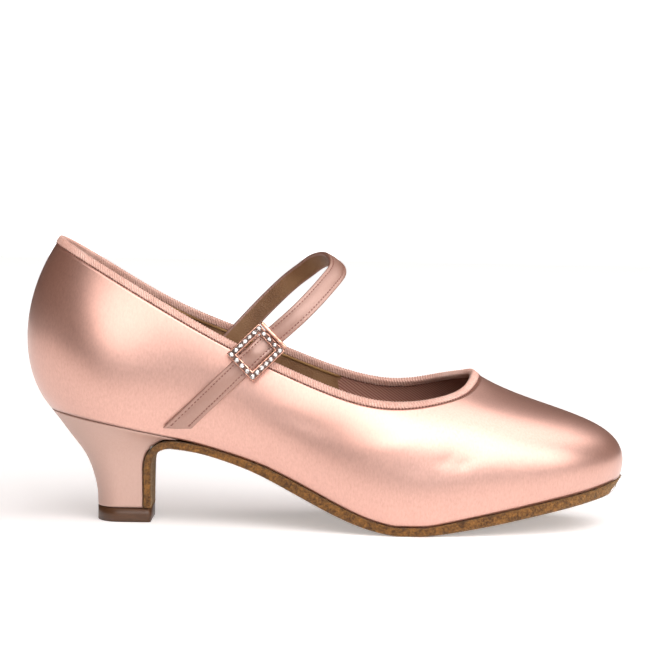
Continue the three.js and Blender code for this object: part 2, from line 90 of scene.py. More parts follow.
def node(tree, kind, inputs=(), **settings):
    """One shader node; its inputs take plain values or the outputs of other nodes."""
    made = tree.nodes.new("ShaderNode" + kind)
    for key, value in settings.items():
        setattr(made, key, value)
    for key, value in dict(inputs).items():
        if isinstance(value, bpy.types.NodeSocket):
            tree.links.new(value, made.inputs[key])
        else:
            made.inputs[key].default_value = value
    return made


def join(tree, out, into):
    tree.links.new(out, into)


def blend(tree, share, first, second):
    """Colour that goes from the first to the second."""
    mix = node(tree, "Mix", data_type="RGBA", clamp_factor=True)
    for slot, value in ((0, share), (6, first), (7, second)):
        if isinstance(value, bpy.types.NodeSocket):
            tree.links.new(value, mix.inputs[slot])
        else:
            mix.inputs[slot].default_value = (*value, 1) if isinstance(value, tuple) else value
    return mix.outputs[2]


def lying(tree):
    """Place on the shoe, in metres."""
    return node(tree, "TexCoord").outputs["Object"]


def ranged(tree, value, low, high, first=0.0, last=1.0):
    """Value that runs from first to last while the given one runs from low to high."""
    return node(tree, "MapRange", {0: value, 1: low, 2: high, 3: first, 4: last}).outputs[0]


def tinted(tree, shader, share, dark, pale):
    join(tree, blend(tree, share, dark, pale), shader.inputs["Base Color"])


def rough_up(tree, shader, height, strength, distance):
    """Fine relief on a surface."""
    bump = node(tree, "Bump", {"Height": height, "Strength": strength, "Distance": distance})
    join(tree, bump.outputs[0], shader.inputs["Normal"])


def group(name, inputs, outputs):
    """Empty shader group with named value, vector and colour sockets."""
    made = bpy.data.node_groups.new(name, "ShaderNodeTree")
    for label, kind, value in inputs:
        way_in = made.interface.new_socket(label, in_out="INPUT", socket_type="NodeSocket" + kind)
        if value is not None:
            way_in.default_value = value
    for label, kind in outputs:
        made.interface.new_socket(label, in_out="OUTPUT", socket_type="NodeSocket" + kind)
    start = made.nodes.new("NodeGroupInput")
    end = made.nodes.new("NodeGroupOutput")
    return made, start, end


# Leather grain: pebbles parted by fine furrows, and broad patches of rubbing
grain, grain_in, grain_out = group(
    "leather_grain",
    [("Place", "Vector", None), ("Pebbles", "Float", 900.0)],
    [("Height", "Float"), ("Rub", "Float")],
)
hide, pebble_count = grain_in.outputs["Place"], grain_in.outputs["Pebbles"]
pebbles = node(grain, "TexVoronoi", {"Vector": hide, "Scale": pebble_count}, feature="DISTANCE_TO_EDGE")
patch = node(grain, "TexNoise", {"Vector": hide, "Scale": 55.0, "Detail": 4.0})
join(grain, ranged(grain, pebbles.outputs["Distance"], 0.0, 0.25), grain_out.inputs["Height"])
join(grain, ranged(grain, patch.outputs[0], 0.35, 0.68), grain_out.inputs["Rub"])


def leather(name, dark, pale, roughness):
    made, tree, shader = material(name)
    skin = node(tree, "Group", {"Place": lying(tree)}, node_tree=grain)
    tinted(tree, shader, skin.outputs["Rub"], dark, pale)
    rough_up(tree, shader, skin.outputs["Height"], strength=0.35, distance=0.0002)
    shader.inputs["Roughness"].default_value = roughness
    return made


insole = node_skin("insole", levels=1)
insole.data.materials.append(leather("sock_leather", SOCK_BROWN, SOCK_PALE, roughness=0.55))
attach(insole, "root")
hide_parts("insole")

# Upper: satin drawn over the last, backed and lined, its foot turned in under the insole.
# Outside it is rose satin with fine upright threads; inside, brown leather lines the back of the shoe
# and rose-brown twill the front. The sections are those of the last, in lengths and ball widths.
LENGTH = 245.0
BALL_WIDTH = 75.0
BACK_HEIGHT = 115.4
WALL = 1.8
GAP = 0.3
BINDING_WIDTH = 3.2
SATIN_DEEP = (0.50, 0.185, 0.112)
SATIN_ROSE = (0.68, 0.335, 0.24)
QUARTER_DARK = (0.168, 0.08, 0.034)
QUARTER_PALE = (0.282, 0.153, 0.073)
TWILL_DARK = (0.229, 0.095, 0.065)
TWILL_PALE = (0.397, 0.202, 0.153)
QUARTER_END = 128.0
BOTTOM_LINE = [
    (0.0, 46.6), (0.057, 45.0), (0.135, 42.0), (0.2, 38.7), (0.269, 35.1), (0.327, 31.3), (0.396, 26.0),
    (0.461, 18.8), (0.527, 10.8), (0.571, 6.3), (0.6, 4.4), (0.614, 3.8), (0.661, 3.8), (0.677, 4.3),
    (0.702, 5.5), (0.784, 9.5), (0.865, 13.5), (0.955, 17.8), (1.01, 21.2),
]
# Foot along and aside, top along, aside and up, then swell, lift, lean and drop of the wall between them
SECTIONS = np.array([
    (0.042, 0, 0.057, 0, 1, 13, 14, 18.2, 26.3),
    (0.122, -0.327, 0.108, -0.244, 0.939, 9, 20, 10, 24),
    (0.237, -0.333, 0.231, -0.347, 0.787, 7, 16, 4, 20),
    (0.359, -0.333, 0.351, -0.36, 0.648, 6.5, 14, 3, 16),
    (0.49, -0.42, 0.478, -0.384, 0.527, 6, 14, 4, 13),
    (0.62, -0.504, 0.592, -0.413, 0.4575, 5.5, 15, 8, 11),
    (0.763, -0.457, 0.686, -0.313, 0.468, 6, 18, 12.5, 8),
    (0.916, -0.283, 0.729, -0.153, 0.5026, 8, 23, 18, 11.5),
    (0.9955, 0.067, 0.7445, 0.04, 0.5425, 9, 27, 24, 17.6),
    (0.926, 0.34, 0.73, 0.187, 0.538, 8, 24, 18, 12),
    (0.806, 0.465, 0.69, 0.327, 0.517, 6, 20, 13, 9),
    (0.686, 0.493, 0.612, 0.407, 0.493, 4.5, 16, 8, 12),
    (0.531, 0.36, 0.498, 0.387, 0.549, 6, 14, 4, 14),
    (0.3755, 0.24, 0.359, 0.347, 0.666, 9, 12, 3, 18),
    (0.237, 0.273, 0.233, 0.343, 0.777, 9, 15, 4, 20),
    (0.122, 0.32, 0.106, 0.26, 0.935, 9, 20, 9, 24),
])
SECTIONS[:, (0, 2)] *= LENGTH
SECTIONS[:, (1, 3)] *= BALL_WIDTH
SECTIONS[:, 4] *= BACK_HEIGHT
ROUND = len(SECTIONS)
NUDGE = 0.004
# Soft creases of the vamp: place round and up the wall, run round and up, depth in millimetres
CREASES = [
    (5.35, 0.46, 0.45, 0.10, 0.35),
    (5.75, 0.40, 0.40, 0.12, 0.30),
    (6.10, 0.52, 0.35, 0.10, 0.22),
    (5.10, 0.62, 0.35, 0.06, -0.18),
    (2.60, 0.55, 0.30, 0.16, 0.22),
    (3.90, 0.58, 0.40, 0.08, 0.20),
    (5.62, 0.45, 0.13, 0.05, 0.20),
    (5.84, 0.41, 0.11, 0.04, 0.16),
    (5.45, 0.36, 0.12, 0.04, 0.13),
]
# The last stands where the tip of the heel stands
TIP_BACK = 29.9
lift_low, lift_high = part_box("top_lift")
STAND = np.array([lift_low.x / MM - TIP_BACK, (lift_low.y + lift_high.y) / 2 / MM, 0.0])

slopes = np.zeros_like(SECTIONS)
for _ in range(60):
    both = np.roll(SECTIONS, -1, 0) - np.roll(SECTIONS, 1, 0)
    slopes = (3 * both - np.roll(slopes, -1, 0) - np.roll(slopes, 1, 0)) / 8 + slopes / 2


def section(u):
    """All columns of the sections at places u round the foot."""
    turn = np.mod(u, ROUND)
    i = np.floor(turn).astype(int) % ROUND
    j = (i + 1) % ROUND
    s = (turn - np.floor(turn))[..., None]
    rise = s * s * (3 - 2 * s)
    bend = s * (1 - s) * ((1 - s) * slopes[i] - s * slopes[j])
    return SECTIONS[i] * (1 - rise) + SECTIONS[j] * rise + bend


def bottom_height(x):
    """Height of the bottom of the last, by a curve that never swings past its table."""
    line = np.array(BOTTOM_LINE)
    step = np.diff(line[:, 1]) / np.diff(line[:, 0])
    product, total = step[:-1] * step[1:], step[:-1] + step[1:] + 1e-12
    inner = np.where(product > 0, 2 * product / total, 0)
    slope = np.concatenate([step[:1], inner, step[-1:]])
    at = np.asarray(x) / LENGTH
    i = np.clip(np.searchsorted(line[:, 0], at) - 1, 0, len(line) - 2)
    width = line[i + 1, 0] - line[i, 0]
    s = (at - line[i, 0]) / width
    rise = s * s * (3 - 2 * s)
    early = s * (1 - s) ** 2 * width * slope[i]
    late = s * s * (s - 1) * width * slope[i + 1]
    return line[i, 1] * (1 - rise) + line[i + 1, 1] * rise + early + late


def wall(u, t):
    """Points of the outside: u runs round the foot, t climbs from the sole to the top edge."""
    u = np.asarray(u, float)
    t = np.asarray(t, float)[..., None]
    here, ahead, behind = section(u), section(u + NUDGE), section(u - NUDGE)
    run = ahead - behind
    foot = np.stack([here[..., 0], here[..., 1], bottom_height(here[..., 0])], -1)
    top = here[..., 2:5]
    out = []
    for x, y in ((0, 1), (2, 3)):
        away = np.stack([run[..., y], -run[..., x], 0 * run[..., x]], -1)
        out.append(away / np.linalg.norm(away, axis=-1, keepdims=True))
    low = foot + out[0] * here[..., 5:6]
    low[..., 2] += here[..., 6]
    high = top + out[1] * here[..., 7:8]
    high[..., 2] -= here[..., 8]
    back = 1 - t
    return foot * back**3 + low * 3 * back**2 * t + high * 3 * back * t**2 + top * t**3


def unit(v):
    return v / np.linalg.norm(v, axis=-1, keepdims=True)


def climb(u, t):
    return (wall(u, t + NUDGE) - wall(u, t - NUDGE)) / (2 * NUDGE)


def facing(u, t):
    return unit(np.cross(wall(u + NUDGE, t) - wall(u - NUDGE, t), climb(u, t)))


def below_top(u, length):
    """Place up the wall that lies the given length below the top edge."""
    t = 1 - length / np.linalg.norm(climb(u, np.ones_like(u)), axis=-1)
    for _ in range(3):
        t = 1 - length / np.linalg.norm(climb(u, (1 + t) / 2), axis=-1)
    return t


def bent_sheet(across, up, spot):
    """Grid of faces laid on the points that spot gives, its open seams merged."""
    bm = bmesh.new()
    bmesh.ops.create_grid(bm, x_segments=across, y_segments=up, size=0.5)
    flat = np.array([v.co for v in bm.verts]) + 0.5
    for vert, place in zip(bm.verts, (spot(flat[:, 0], flat[:, 1]) + STAND) * MM):
        vert.co = place
    bmesh.ops.remove_doubles(bm, verts=bm.verts, dist=0.000004)
    bmesh.ops.recalc_face_normals(bm, faces=bm.faces)
    return bm


# The wall in section: outside up to the binding, over the edge, inside down again, under the foot
OUT_TOP, IN_TOP, IN_FOOT = 0.48, 0.52, 0.98
STEP_IN = 0.35


def shell(a, b):
    u = a * ROUND
    stop = below_top(u, BINDING_WIDTH + GAP)
    up = np.interp(b, (0, OUT_TOP, IN_TOP, IN_FOOT, 1), (0, 1, 1, 0, 0)) * stop
    deep = np.interp(b, (0, OUT_TOP, IN_TOP, IN_FOOT, 1), (0, 0, 1, 1, 0))
    place = wall(u, up)
    sunk = np.zeros_like(u)
    for at, high, run, rise, depth in CREASES:
        along = ((u - at) / run) ** 2
        aslope = ((up - high - 0.12 * (u - at)) / rise) ** 2
        sunk += depth * np.exp(-along - aslope) * (1 - deep)
    behind_end = np.clip((QUARTER_END - place[:, 0]) / 0.6, 0, 1)
    off_foot = np.clip(up / stop * 12, 0, 1)
    inward = sunk + deep * (WALL - STEP_IN + STEP_IN * behind_end * off_foot)
    return place - facing(u, up) * inward[:, None]


# Faces that look towards this sloping line inside the shoe are lining
CORE_BACK, CORE_FRONT, CORE_HIGH, CORE_SLOPE = -0.085, 0.06, 0.085, 0.44
upper_bm = bent_sheet(400, 100, shell)
for face in upper_bm.faces:
    spot = face.calc_center_median()
    core = Vector((min(max(spot.x, CORE_BACK), CORE_FRONT), 0, 0))
    core.z = CORE_HIGH - (core.x - CORE_BACK) * CORE_SLOPE
    if (spot - core).dot(face.normal) < 0:
        face.material_index = 1 if spot.x / MM - STAND[0] < QUARTER_END else 2
upper = finished(upper_bm, "upper_satin")

# Satin: upright threads that break the light into fine streaks, over slow waves of the cloth
weave, weave_in, weave_out = group(
    "satin_weave",
    [("Place", "Vector", None), ("Threads", "Float", 1500.0)],
    [("Streak", "Float"), ("Height", "Float")],
)
THREAD_DRAW = 620.0
cloth_spot, thread_count = weave_in.outputs["Place"], weave_in.outputs["Threads"]
fine = node(weave, "CombineXYZ", {0: thread_count, 1: thread_count, 2: THREAD_DRAW})
drawn = node(weave, "VectorMath", {0: cloth_spot, 1: fine.outputs[0]}, operation="MULTIPLY")
spun = {"Vector": drawn.outputs[0], "Scale": 1.0, "Detail": 3.0, "Roughness": 0.6}
thread = node(weave, "TexNoise", spun)
wave = node(weave, "TexNoise", {"Vector": cloth_spot, "Scale": 42.0, "Detail": 1.5})
slow = ranged(weave, wave.outputs[0], 0.3, 0.7)
tall = node(weave, "Math", {0: slow, 1: 6.0, 2: thread.outputs[0]}, operation="MULTIPLY_ADD")
join(weave, thread.outputs[0], weave_out.inputs["Streak"])
join(weave, tall.outputs[0], weave_out.inputs["Height"])


def satin(name, deep, rose, roughness, lustre, coat, threads):
    made, tree, shader = material(name)
    cloth = node(tree, "Group", {"Place": lying(tree), "Threads": threads}, node_tree=weave)
    streak = cloth.outputs["Streak"]
    share = node(tree, "Math", {0: streak, 1: 1.6, 2: -0.25}, operation="MULTIPLY_ADD")
    tinted(tree, shader, share.outputs[0], deep, rose)
    rough_up(tree, shader, cloth.outputs["Height"], strength=0.5, distance=0.00006)
    dull = ranged(tree, streak, 0.3, 0.7, roughness - 0.04, roughness + 0.05)
    join(tree, dull, shader.inputs["Roughness"])
    shader.inputs["Metallic"].default_value = lustre
    shader.inputs["Coat Weight"].default_value = coat
    shader.inputs["Coat Roughness"].default_value = 0.42
    shader.inputs["Coat IOR"].default_value = 2.6
    return made


def twill(name, dark, pale):
    """Cotton twill: slanting ribs, lighter on the crowns."""
    made, tree, shader = material(name)
    slant = node(tree, "Mapping", {"Vector": lying(tree), "Rotation": (0.2, 0.75, 0.6)})
    lines = {"Vector": slant.outputs[0], "Scale": 330.0, "Distortion": 0.6, "Detail": 2.0}
    rib = node(tree, "TexWave", lines).outputs[1]
    tinted(tree, shader, rib, dark, pale)
    rough_up(tree, shader, rib, strength=0.5, distance=0.0002)
    shader.inputs["Roughness"].default_value = 0.8
    return made


rose_satin = satin(
    "rose_satin", SATIN_DEEP, SATIN_ROSE, roughness=0.34, lustre=0.75, coat=1.0, threads=1500.0
)
upper.data.materials.append(rose_satin)
upper.data.materials.append(leather("quarter_lining", QUARTER_DARK, QUARTER_PALE, roughness=0.5))
upper.data.materials.append(twill("vamp_lining", TWILL_DARK, TWILL_PALE))
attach(upper, "root")
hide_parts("upper")

# Raw edge of the quarter lining: brown leather, trimmed after gluing and left uncovered.
# It shows as a thin golden rim just inside the top edge, below the tape.
EDGE_DROP, EDGE_HALF, EDGE_TALL, EDGE_SUNK = 0.55, 0.3, 0.6, 0.2
RAW_DARK = (0.206, 0.099, 0.031)
RAW_GOLD = (0.397, 0.229, 0.084)


def raw_edge(a, b):
    u = a * ROUND
    t = below_top(u, BINDING_WIDTH + EDGE_DROP)
    turn = b * 2 * math.pi
    ahead_of_it = np.clip(wall(u, t)[:, 0] - QUARTER_END, 0, 1)
    sunk = WALL + EDGE_SUNK - ahead_of_it + EDGE_HALF * np.cos(turn)
    high = EDGE_TALL * np.sin(turn)
    return wall(u, t) - facing(u, t) * sunk[:, None] + unit(climb(u, t)) * high[:, None]


lining_rim = finished(bent_sheet(300, 10, raw_edge), "lining_rim")
lining_rim.data.materials.append(leather("raw_leather", RAW_DARK, RAW_GOLD, roughness=0.7))
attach(lining_rim, "root")

# Binding: ribbed tape folded over the top edge of the wall and sewn through along its lower edge.
# The ribs run aslant, so the folded edge looks like a thin twisted cord.
BINDING_PROUD = 0.4
RIB_PITCH = 1.15
RIB_RISE = 0.2
RIB_SLANT = 3
TAPE_DARK = (0.504, 0.252, 0.191)
TAPE_ROSE = (0.702, 0.466, 0.389)
THREAD_DARK = (0.13, 0.047, 0.034)
THREAD_ROSE = (0.275, 0.118, 0.088)
STITCH_PITCH = 1.4
STITCH_DROP = 0.2


def even_round(drop):
    """Places round the top edge at equal lengths of the line that lies the given drop below it."""
    fine_u = np.linspace(0, ROUND, 4001)
    line = wall(fine_u, below_top(fine_u, drop))
    run = np.concatenate([[0], np.cumsum(np.linalg.norm(np.diff(line, axis=0), axis=1))])
    return lambda share: np.interp(share * run[-1], run, fine_u), run[-1]


round_top, top_length = even_round(0.01)
RIBS = round(top_length / RIB_PITCH)


def tape(a, b):
    u = round_top(a)
    ones = np.ones_like(u)
    rise, face = unit(climb(u, ones)), facing(u, ones)
    turn = b * 2 * math.pi
    across = np.sign(np.cos(turn)) * np.sqrt(np.abs(np.cos(turn)))
    up = np.sign(np.sin(turn)) * np.sqrt(np.abs(np.sin(turn)))
    rib = RIB_RISE * np.cos(2 * math.pi * (a * RIBS + RIB_SLANT * b))
    middle = wall(u, ones) - face * (WALL / 2) - rise * (BINDING_WIDTH / 2)
    out = (across * (WALL / 2 + BINDING_PROUD + rib))[:, None]
    high = (up * (BINDING_WIDTH / 2 + rib))[:, None]
    return middle + face * out + rise * high


binding = finished(bent_sheet(RIBS * 6, 24, tape), "binding_tape")
tape_cloth, tape_tree, tape_shader = material("grosgrain_tape")
tape_spot = lying(tape_tree)
tape_noise = node(tape_tree, "TexNoise", {"Vector": tape_spot, "Scale": 1400.0, "Detail": 3.0}).outputs[0]
tape_patch = node(tape_tree, "TexNoise", {"Vector": tape_spot, "Scale": 70.0}).outputs[0]
tape_share = node(tape_tree, "Math", {0: tape_noise, 1: tape_patch}, operation="ADD").outputs[0]
tinted(tape_tree, tape_shader, ranged(tape_tree, tape_share, 0.65, 1.25), TAPE_DARK, TAPE_ROSE)
rough_up(tape_tree, tape_shader, tape_noise, strength=0.4, distance=0.0001)
tape_shader.inputs["Roughness"].default_value = 0.5
tape_shader.inputs["Sheen Weight"].default_value = 0.3
binding.data.materials.append(tape_cloth)
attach(binding, "root")
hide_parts("topline_binding")


def sew(bm, spots, alongs, faces, length, thick):
    """Row of stitches: each a short thick thread lying on the cloth and dipping in at its ends."""
    for spot, along, face in zip((spots + STAND) * MM, unit(alongs), unit(faces)):
        side = np.cross(face, along)
        turn = Matrix((along, side, np.cross(along, side))).transposed().to_4x4()
        size = Matrix.Diagonal((length * MM / 2, thick * MM / 2, thick * MM / 2, 1))
        bmesh.ops.create_uvsphere(
            bm, u_segments=6, v_segments=4, radius=1, matrix=Matrix.Translation(spot) @ turn @ size
        )


def thread_stuff(name, dark, pale):
    made, tree, shader = material(name)
    ply = node(tree, "TexWave", {"Vector": lying(tree), "Scale": 900.0, "Distortion": 1.0})
    tinted(tree, shader, ply.outputs[1], dark, pale)
    shader.inputs["Roughness"].default_value = 0.6
    return made


round_stitch, stitch_length = even_round(BINDING_WIDTH + STITCH_DROP)
STITCHES = round(stitch_length / STITCH_PITCH)
stitch_u = round_stitch((np.arange(STITCHES) + 0.5) / STITCHES)
stitch_t = below_top(stitch_u, BINDING_WIDTH + STITCH_DROP)
sewing = bmesh.new()
sew(
    sewing,
    wall(stitch_u, stitch_t) + facing(stitch_u, stitch_t) * 0.08,
    wall(stitch_u + NUDGE, stitch_t) - wall(stitch_u - NUDGE, stitch_t),
    facing(stitch_u, stitch_t),
    length=0.95,
    thick=0.55,
)
dark_thread = thread_stuff("dark_thread", THREAD_DARK, THREAD_ROSE)
binding_seam = finished(sewing, "binding_seam")
binding_seam.data.materials.append(dark_thread)
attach(binding_seam, "root")

# Outsole: split suede, cut to the outline of the shoe, cemented on and carried down the breast of
# the heel. It is golden brown and brushed to a short nap, paler where it has been rubbed.
SUEDE_DARK = (0.05, 0.018, 0.003)
SUEDE_GOLD = (0.31, 0.135, 0.027)
SOLE_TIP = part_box("outsole")[1].x
TRIM_RUN, TRIM = 0.009, 0.85


def trimmed(place):
    """The lower corner of the toe end is trimmed back, the more the lower it lies."""
    share = max(0.0, (place.x - SOLE_TIP + TRIM_RUN) / TRIM_RUN)
    below = bottom_height(place.x / MM - STAND[0]) * MM - place.z
    return place - Vector((max(0.0, below) * TRIM * share, 0, 0))


outsole = node_skin("outsole", levels=2, edge_hold=0.5, soft_beyond=SOLE_TIP - 0.005)
for vert in outsole.data.vertices:
    vert.co = trimmed(vert.co)
suede, suede_tree, suede_shader = material("brushed_suede")
suede_spot = lying(suede_tree)
short_nap = {"Vector": suede_spot, "Scale": 1300.0, "Detail": 4.0, "Roughness": 0.75}
nap = node(suede_tree, "TexNoise", short_nap).outputs[0]
brushed = node(suede_tree, "TexNoise", {"Vector": suede_spot, "Scale": 420.0, "Detail": 3.0}).outputs[0]
nap_share = node(suede_tree, "Math", {0: brushed, 1: 0.6, 2: nap}, operation="MULTIPLY_ADD").outputs[0]
tinted(suede_tree, suede_shader, ranged(suede_tree, nap_share, 0.66, 1.04), SUEDE_DARK, SUEDE_GOLD)
rough_up(suede_tree, suede_shader, nap, strength=0.9, distance=0.0006)
suede_shader.inputs["Roughness"].default_value = 0.95
suede_shader.inputs["Sheen Weight"].default_value = 0.35
suede_shader.inputs["Sheen Tint"].default_value = (1.0, 0.8, 0.5, 1)
outsole.data.materials.append(suede)
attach(outsole, "root")
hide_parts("outsole")

# Loose fibres: the cut edges of the suede are not sealed, so short hairs of the hide stand off them.
# They lie every half millimetre or so, each leaning its own way, and none goes below the floor.
FIBRE_EVERY, FIBRE_LONG, FIBRE_THICK, FIBRE_OUT = 0.55, 0.75, 0.075, 0.22
EDGE_TURN = 1.0
chance = np.random.default_rng(11)
edge_bm = bmesh.new()
edge_bm.from_mesh(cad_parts["outsole"].data)
bmesh.ops.remove_doubles(edge_bm, verts=edge_bm.verts, dist=0.00001)
fibre_bm = bmesh.new()
for edge in edge_bm.edges:
    if edge.calc_face_angle(0.0) < EDGE_TURN:
        continue
    out = sum((f.normal for f in edge.link_faces), Vector()).normalized()
    start, end = (trimmed(v.co) for v in edge.verts)
    edge_length = edge.calc_length() / MM
    for share in np.arange(0.2, edge_length, FIBRE_EVERY) / edge_length:
        spread = Vector(chance.normal(0, 0.45, 3))
        size = chance.uniform(0.5, 1.0)
        way = (out + spread).normalized().to_track_quat("Z", "Y").to_matrix().to_4x4()
        out_by = Matrix.Translation((0, 0, FIBRE_OUT * size * MM))
        place = Matrix.Translation(start.lerp(end, share)) @ way @ out_by
        bmesh.ops.create_cone(
            fibre_bm, segments=3, radius1=FIBRE_THICK * MM, radius2=0.01 * MM,
            depth=FIBRE_LONG * size * MM, matrix=place,
        )
edge_bm.free()
for vert in fibre_bm.verts:
    vert.co.z = max(vert.co.z, 0.0)
fibres = finished(fibre_bm, "suede_fibres")
fibres.data.materials.append(suede)
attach(fibres, "root")

# Heel: a flared hard block under the seat, covered with the satin of the upper.
# The cloth is drawn tight and glued, so it shows a calmer gloss than on the upper.
HEEL_DEEP = (0.473, 0.286, 0.225)
HEEL_ROSE = (0.534, 0.34, 0.275)
heel = node_skin("heel", levels=2)
heel_satin = satin(
    "heel_satin", HEEL_DEEP, HEEL_ROSE, roughness=0.52, lustre=0.4, coat=0.4, threads=1600.0
)
heel.data.materials.append(heel_satin)
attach(heel, "root")
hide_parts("heel")

# Top lift: the hard foot of the heel, moulded in brown plastic and fixed under its tip.
# Its edge has fine scratches from the floor.
LIFT_DARK = (0.05, 0.02, 0.008)
LIFT_BROWN = (0.105, 0.046, 0.019)
top_lift = node_skin("top_lift", levels=1)
lift_stuff, lift_tree, lift_shader = material("lift_plastic")
SCRATCHES = (200.0, 200.0, 1600.0)
lift_flat = node(lift_tree, "Mapping", {"Vector": lying(lift_tree), "Scale": SCRATCHES}).outputs[0]
scratch = node(lift_tree, "TexNoise", {"Vector": lift_flat, "Scale": 1.0, "Detail": 5.0}).outputs[0]
tinted(lift_tree, lift_shader, scratch, LIFT_DARK, LIFT_BROWN)
rough_up(lift_tree, lift_shader, scratch, strength=0.25, distance=0.0002)
lift_shader.inputs["Roughness"].default_value = 0.42
top_lift.data.materials.append(lift_stuff)
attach(top_lift, "root")
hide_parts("top_lift")

# Strap tab: a satin band folded along both edges, laid slantwise on the outer wall and sewn down along
# both edges and across its end. It rises under the buckle.
STRAP_WIDTH = 8.0
STRAP_THICKNESS = 1.8
TAB_ANGLE = math.radians(44)
TAB_FOOT = (63.9, 40.9)
TAB_LENGTH = 50.0
TAB_SHEAR = 14.0
OUTER_WAIST = 3.0
RISE_FROM, RISE_TO, RISE = 0.74, 0.88, 0.5
STRAP_DEEP = (0.305, 0.149, 0.107)
STRAP_ROSE = (0.36, 0.2, 0.15)
SEAM_INSET = 1.5
SEAM_PITCH = 1.45
STITCH_LONG, STITCH_THICK = 1.1, 0.56
BULGE, BULGE_AT, BULGE_RUN = 1.1, 42.3, 3.2


def ease(value, low, high):
    s = np.clip((value - low) / (high - low), 0, 1)
    return s * s * (3 - 2 * s)


def tab_place(along, side, height):
    """Point of the band: along it from its foot, aside from its middle, and off the wall."""
    shear = (1 - ease(along, 0, TAB_SHEAR)) / math.tan(TAB_ANGLE)
    ahead = along + side * shear
    x = TAB_FOOT[0] + ahead * math.cos(TAB_ANGLE) + side * math.sin(TAB_ANGLE)
    z = TAB_FOOT[1] + ahead * math.sin(TAB_ANGLE) - side * math.cos(TAB_ANGLE)
    u = np.full_like(x, OUTER_WAIST)
    t = np.full_like(x, 0.5)
    for _ in range(12):
        here = wall(u, t)
        du = (wall(u + NUDGE, t) - here) / NUDGE
        dt = (wall(u, t + NUDGE) - here) / NUDGE
        det = du[:, 0] * dt[:, 2] - dt[:, 0] * du[:, 2]
        ex, ez = x - here[:, 0], z - here[:, 2]
        u = u + (ex * dt[:, 2] - dt[:, 0] * ez) / det
        t = t + (du[:, 0] * ez - ex * du[:, 2]) / det
    clear = GAP + RISE * ease(t, RISE_FROM, RISE_TO)
    return wall(u, t) + facing(u, t) * (clear + height)[:, None]


def band_section(b):
    """Section of a folded band: place across it, and height with a dip along each seam."""
    turn = b * 2 * math.pi
    side = np.sign(np.cos(turn)) * np.abs(np.cos(turn)) ** 0.35 * STRAP_WIDTH / 2
    high = np.sign(np.sin(turn)) * np.abs(np.sin(turn)) ** 0.35
    seam = np.exp(-(((np.abs(side) - STRAP_WIDTH / 2 + SEAM_INSET) / 0.35) ** 2))
    plump = 0.22 * np.exp(-((side / 1.6) ** 2))
    crown = np.where(high > 0, high * (1 - 0.22 * seam) + plump, high)
    return side, crown * STRAP_THICKNESS / 2


def bulge(along):
    """The band swells up through the window of the buckle."""
    return BULGE * np.exp(-(((along - BULGE_AT) / BULGE_RUN) ** 2))


def tab_band(a, b):
    side, high = band_section(b)
    crown = 1 - (side / STRAP_WIDTH * 1.6) ** 2
    swollen = np.where(high > 0, bulge(a * TAB_LENGTH) * crown, 0)
    return tab_place(a * TAB_LENGTH, side, high + STRAP_THICKNESS / 2 + swollen)


def close_ends(bm):
    bmesh.ops.holes_fill(bm, edges=[e for e in bm.edges if e.is_boundary], sides=0)
    bmesh.ops.recalc_face_normals(bm, faces=bm.faces)


tab_bm = bent_sheet(70, 56, tab_band)
close_ends(tab_bm)
strap_tab = finished(tab_bm, "strap_tab_satin")
strap_cloth = satin(
    "strap_satin", STRAP_DEEP, STRAP_ROSE, roughness=0.5, lustre=0.35, coat=0.35, threads=1600.0
)
strap_tab.data.materials.append(strap_cloth)
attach(strap_tab, "root")
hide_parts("strap_tab")

tab_sewing = bmesh.new()
seam_side = STRAP_WIDTH / 2 - SEAM_INSET
seam_along = np.arange(2.2, TAB_LENGTH - 0.5, SEAM_PITCH)
end_side = np.linspace(-seam_side, seam_side, 4)
rows = [(seam_along, np.full_like(seam_along, s)) for s in (-seam_side, seam_side)]
rows.append((np.full_like(end_side, 1.6), end_side))
for along, side in rows:
    run = 0.2 if np.ptp(along) else 0.0
    sway = 0.0 if run else 0.2
    lie = STRAP_THICKNESS * 0.9 + bulge(along) * 0.75
    here = tab_place(along, side, lie)
    ahead = tab_place(along + run, side + sway, lie)
    above = tab_place(along, side, lie + 1)
    sew(tab_sewing, here, ahead - here, above - here, STITCH_LONG, STITCH_THICK)
tab_seam = finished(tab_sewing, "strap_tab_seam")
tab_seam.data.materials.append(dark_thread)
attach(tab_seam, "root")

# Buckle: a cast rose-metal frame on the tab, with a hook bar at the instep end that takes the strap.
# It is shown fastened; worn, the strap unhooks from the bar.
BUCKLE_AT = BULGE_AT
BUCKLE_LENGTH = 17.5
BUCKLE_WIDTH = 15.1
WINDOW_LENGTH = 12.3
WINDOW_WIDTH = 9.0
BUCKLE_THICKNESS = 1.5
BUCKLE_LIFT = 0.5
METAL_DARK = (0.42, 0.19, 0.13)
METAL_ROSE = (0.80, 0.47, 0.36)


def one(along, side, height):
    return tab_place(np.array([along]), np.array([side]), np.array([height]))[0]


buckle_along = unit(one(BUCKLE_AT + 5, 0.0, 0.0) - one(BUCKLE_AT - 5, 0.0, 0.0))
buckle_side = unit(one(BUCKLE_AT, 3.0, 0.0) - one(BUCKLE_AT, -3.0, 0.0))
buckle_face = unit(np.cross(buckle_side, buckle_along))
buckle_across = np.cross(buckle_face, buckle_along)
buckle_middle = one(BUCKLE_AT, 0.0, STRAP_THICKNESS + BUCKLE_LIFT)
POSE = Matrix((buckle_along, buckle_across, buckle_face)).transposed().to_4x4()
POSE = Matrix.Translation((buckle_middle + STAND) * MM) @ POSE @ Matrix.Scale(MM, 4)


